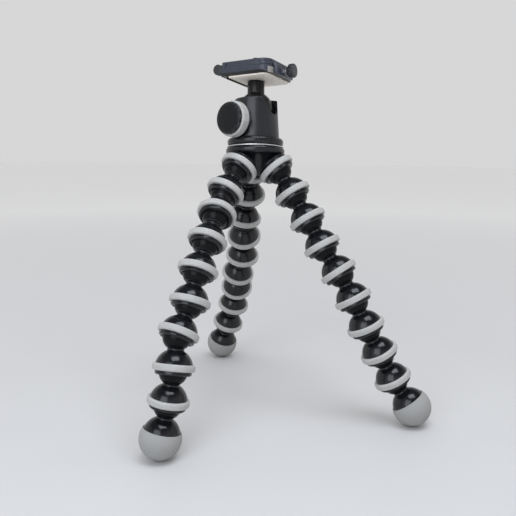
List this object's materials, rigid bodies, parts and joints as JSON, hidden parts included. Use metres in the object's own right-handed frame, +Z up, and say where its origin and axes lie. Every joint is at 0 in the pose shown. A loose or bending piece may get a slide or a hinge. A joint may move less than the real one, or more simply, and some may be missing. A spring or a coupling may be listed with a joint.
{
  "type": "flexible leg tripod",
  "caption": "Small camera tripod with bendable legs of ball-and-socket links, rubber grip rings and ball feet, under a ball head with a lock knob and a quick-release clamp.",
  "frame": {"origin": "on the floor under the middle of the box round the three feet", "axes": "+Z up, +X to the right and +Y away from the viewer, as pictured from the front"},
  "size_m": [0.2032, 0.2438, 0.2657],
  "materials": {
    "leg_plastic": "gloss moulded",
    "grip_rubber": "satin",
    "foot_rubber": "scuffed matt",
    "hub_plastic": "gloss moulded",
    "base_plastic": "matt",
    "head_metal": "satin",
    "seat_plastic": "matt",
    "knob_plastic": "satin",
    "knob_rubber": "grained matt",
    "stem_metal": "satin",
    "clamp_metal": "satin",
    "underplate_metal": "matt",
    "level_plastic": "satin",
    "vial": "clear",
    "pad_rubber": "matt",
    "bare_metal": "turned",
    "steel": "bright"
  },
  "bodies": {
    "hub": {"hub_core": "leg_plastic", "hub_rings": "grip_rubber", "hub_collar": "hub_plastic", "head_stud": "steel", "pan_washer": "bare_metal"},
    "head": {"pan_base": "base_plastic", "head_housing": "head_metal", "ball_cup": "seat_plastic", "disc_spring": "steel"},
    "clamp": {"ball_stem": "stem_metal", "clamp_base": "clamp_metal", "clamp_underplate": "underplate_metal", "clamp_bolt": "steel", "level_vial": "vial", "level_caps": "level_plastic"},
    "lock_knob": {"lock_screw": "steel", "lock_knob_cap": "knob_plastic", "lock_knob_grip": "knob_rubber"},
    "jaw_knob": {"jaw_screw": "steel", "jaw_knob": "level_plastic"},
    "moving_jaw": {"moving_jaw": "clamp_metal"},
    "camera_plate": {"camera_plate": "clamp_metal", "plate_pad": "pad_rubber"},
    "camera_screw": {"camera_screw": "steel"},
    "right_link_1": {"right_link_1": "leg_plastic"},
    "right_link_2": {"right_link_2": "leg_plastic"},
    "right_link_3": {"right_link_3": "leg_plastic"},
    "right_link_4": {"right_link_4": "leg_plastic"},
    "right_link_5": {"right_link_5": "leg_plastic"},
    "right_link_6": {"right_link_6": "leg_plastic"},
    "right_link_7": {"right_link_7": "leg_plastic"},
    "right_link_8": {"right_link_8": "leg_plastic"},
    "right_foot": {"right_foot_link": "leg_plastic", "right_foot_cup": "foot_rubber"},
    "left_link_1": {"left_link_1": "leg_plastic"},
    "left_link_2": {"left_link_2": "leg_plastic"},
    "left_link_3": {"left_link_3": "leg_plastic"},
    "left_link_4": {"left_link_4": "leg_plastic"},
    "left_link_5": {"left_link_5": "leg_plastic"},
    "left_link_6": {"left_link_6": "leg_plastic"},
    "left_link_7": {"left_link_7": "leg_plastic"},
    "left_link_8": {"left_link_8": "leg_plastic"},
    "left_foot": {"left_foot_link": "leg_plastic", "left_foot_cup": "foot_rubber"},
    "back_link_1": {"back_link_1": "leg_plastic"},
    "back_link_2": {"back_link_2": "leg_plastic"},
    "back_link_3": {"back_link_3": "leg_plastic"},
    "back_link_4": {"back_link_4": "leg_plastic"},
    "back_link_5": {"back_link_5": "leg_plastic"},
    "back_link_6": {"back_link_6": "leg_plastic"},
    "back_link_7": {"back_link_7": "leg_plastic"},
    "back_link_8": {"back_link_8": "leg_plastic"},
    "back_foot": {"back_foot_link": "leg_plastic", "back_foot_cup": "foot_rubber"}
  },
  "joints": [
    {"name": "head_pan", "type": "hinge", "parent": "hub", "child": "head", "pos_m": [-0.02899, -0.01242, 0.18204], "axis": [0, 0.1219, 0.9925], "continuous": true},
    {"name": "head_tilt", "type": "hinge", "parent": "head", "child": "clamp", "pos_m": [-0.02899, -0.00682, 0.2277], "axis": [0.5446, 0.8324, -0.1022], "range_deg": [-20, 75]},
    {"name": "lock_knob_turn", "type": "hinge", "parent": "head", "child": "lock_knob", "pos_m": [-0.02899, -0.00802, 0.21787], "axis": [-0.6428, -0.7603, 0.0934], "range_deg": [-90, 90]},
    {"name": "jaw_knob_turn", "type": "hinge", "parent": "clamp", "child": "jaw_knob", "pos_m": [-0.02899, -0.00367, 0.25331], "axis": [0.8829, -0.466, 0.0572], "range_deg": [0, 720]},
    {"name": "jaw_slide", "type": "slide", "parent": "clamp", "child": "moving_jaw", "axis": [0.8829, -0.466, 0.0572], "range_m": [0, 0.002]},
    {"name": "plate_slide", "type": "slide", "parent": "clamp", "child": "camera_plate", "axis": [0.4695, 0.8764, -0.1076], "range_m": [0, 0.045]},
    {"name": "camera_screw_turn", "type": "hinge", "parent": "camera_plate", "child": "camera_screw", "pos_m": [-0.02899, -0.00682, 0.2277], "axis": [0, 0.1219, 0.9925], "continuous": true},
    {"name": "right_link_1_bend", "type": "hinge", "parent": "hub", "child": "right_link_1", "pos_m": [-0.01169, -0.01735, 0.18265], "axis": [0.3435, 0.9338, -0.1003], "range_deg": [-36, 23]},
    {"name": "right_link_2_bend", "type": "hinge", "parent": "right_link_1", "child": "right_link_2", "pos_m": [-0.00001, -0.02356, 0.16481], "axis": [-0.7971, 0.2286, -0.559], "range_deg": [-29, 30]},
    {"name": "right_link_3_bend", "type": "hinge", "parent": "right_link_2", "child": "right_link_3", "pos_m": [0.01112, -0.02948, 0.14653], "axis": [-0.3309, -0.9389, 0.0949], "range_deg": [-28, 31]},
    {"name": "right_link_4_bend", "type": "hinge", "parent": "right_link_3", "child": "right_link_4", "pos_m": [0.02167, -0.03509, 0.12782], "axis": [0.7747, -0.2221, 0.5921], "range_deg": [-31, 28]},
    {"name": "right_link_5_bend", "type": "hinge", "parent": "right_link_4", "child": "right_link_5", "pos_m": [0.03376, -0.04047, 0.10998], "axis": [0.3011, 0.9525, -0.0458], "range_deg": [-35, 24]},
    {"name": "right_link_6_bend", "type": "hinge", "parent": "right_link_5", "child": "right_link_6", "pos_m": [0.04423, -0.0447, 0.09087], "axis": [-0.8687, 0.2491, -0.4282], "range_deg": [-23, 36]},
    {"name": "right_link_7_bend", "type": "hinge", "parent": "right_link_6", "child": "right_link_7", "pos_m": [0.05373, -0.04603, 0.07083], "axis": [-0.2073, -0.9694, -0.1312], "range_deg": [-31, 27]},
    {"name": "right_link_8_bend", "type": "hinge", "parent": "right_link_7", "child": "right_link_8", "pos_m": [0.06434, -0.04566, 0.05133], "axis": [0.8484, -0.2433, 0.4702], "range_deg": [-27, 32]},
    {"name": "right_foot_bend", "type": "hinge", "parent": "right_link_8", "child": "right_foot", "pos_m": [0.07493, -0.04641, 0.03183], "axis": [0.2756, 0.9613, 0], "range_deg": [-20, 38]},
    {"name": "left_link_1_bend", "type": "hinge", "parent": "hub", "child": "left_link_1", "pos_m": [-0.04194, -0.02483, 0.18357], "axis": [0.735, -0.6745, 0.0693], "range_deg": [-33, 25]},
    {"name": "left_link_2_bend", "type": "hinge", "parent": "left_link_1", "child": "left_link_2", "pos_m": [-0.05095, -0.03637, 0.16687], "axis": [0.5074, 0.49, -0.7088], "range_deg": [-12, 46]},
    {"name": "left_link_3_bend", "type": "hinge", "parent": "left_link_2", "child": "left_link_3", "pos_m": [-0.05559, -0.05254, 0.15237], "axis": [-0.7778, 0.5994, -0.1889], "range_deg": [-21, 36]},
    {"name": "left_link_4_bend", "type": "hinge", "parent": "left_link_3", "child": "left_link_4", "pos_m": [-0.0613, -0.06537, 0.13518], "axis": [-0.6125, -0.5915, 0.5245], "range_deg": [-26, 32]},
    {"name": "left_link_5_bend", "type": "hinge", "parent": "left_link_4", "child": "left_link_5", "pos_m": [-0.06664, -0.07632, 0.11661], "axis": [0.7352, -0.6631, 0.1409], "range_deg": [-35, 24]},
    {"name": "left_link_6_bend", "type": "hinge", "parent": "left_link_5", "child": "left_link_6", "pos_m": [-0.0711, -0.08545, 0.09686], "axis": [0.6002, 0.5796, -0.5512], "range_deg": [-30, 27]},
    {"name": "left_link_7_bend", "type": "hinge", "parent": "left_link_6", "child": "left_link_7", "pos_m": [-0.07772, -0.09605, 0.07851], "axis": [-0.7147, 0.6847, -0.1432], "range_deg": [-11, 48]},
    {"name": "left_link_8_bend", "type": "hinge", "parent": "left_link_7", "child": "left_link_8", "pos_m": [-0.07953, -0.10238, 0.0573], "axis": [-0.7059, -0.6817, 0.1922], "range_deg": [-19, 40]},
    {"name": "left_foot_bend", "type": "hinge", "parent": "left_link_8", "child": "left_foot", "pos_m": [-0.08312, -0.1048, 0.03552], "axis": [0.6866, -0.7259, -0.0415], "range_deg": [-27, 32]},
    {"name": "back_link_1_bend", "type": "hinge", "parent": "hub", "child": "back_link_1", "pos_m": [-0.03335, 0.00491, 0.17991], "axis": [-0.9758, -0.2151, -0.0405], "range_deg": [-28, 30]},
    {"name": "back_link_2_bend", "type": "hinge", "parent": "back_link_1", "child": "back_link_2", "pos_m": [-0.03529, 0.01721, 0.16153], "axis": [0.2174, -0.8718, -0.4389], "range_deg": [-23, 34]},
    {"name": "back_link_3_bend", "type": "hinge", "parent": "back_link_2", "child": "back_link_3", "pos_m": [-0.03848, 0.02646, 0.14159], "axis": [0.9832, 0.1274, 0.1307], "range_deg": [-43, 12]},
    {"name": "back_link_4_bend", "type": "hinge", "parent": "back_link_3", "child": "back_link_4", "pos_m": [-0.03822, 0.04135, 0.12512], "axis": [-0.2051, 0.8226, 0.5303], "range_deg": [-36, 21]},
    {"name": "back_link_5_bend", "type": "hinge", "parent": "back_link_4", "child": "back_link_5", "pos_m": [-0.04007, 0.05301, 0.10632], "axis": [-0.9609, -0.2737, 0.0424], "range_deg": [-23, 35]},
    {"name": "back_link_6_bend", "type": "hinge", "parent": "back_link_5", "child": "back_link_6", "pos_m": [-0.04453, 0.06597, 0.08885], "axis": [0.169, -0.6779, -0.7155], "range_deg": [-39, 18]},
    {"name": "back_link_7_bend", "type": "hinge", "parent": "back_link_6", "child": "back_link_7", "pos_m": [-0.04564, 0.08194, 0.07346], "axis": [0.9608, 0.2712, -0.058], "range_deg": [-10, 46]},
    {"name": "back_link_8_bend", "type": "hinge", "parent": "back_link_7", "child": "back_link_8", "pos_m": [-0.04956, 0.09165, 0.05387], "axis": [-0.2197, 0.8812, 0.4185], "range_deg": [-34, 24]},
    {"name": "back_foot_bend", "type": "hinge", "parent": "back_link_8", "child": "back_foot", "pos_m": [-0.05503, 0.09975, 0.03394], "axis": [-0.944, -0.3003, 0.1368], "range_deg": [-30, 30]}
  ],
  "couplings": [
    {"joint": "jaw_knob_turn", "follows": "jaw_slide", "rad_per_m": 6283.2}
  ]
}
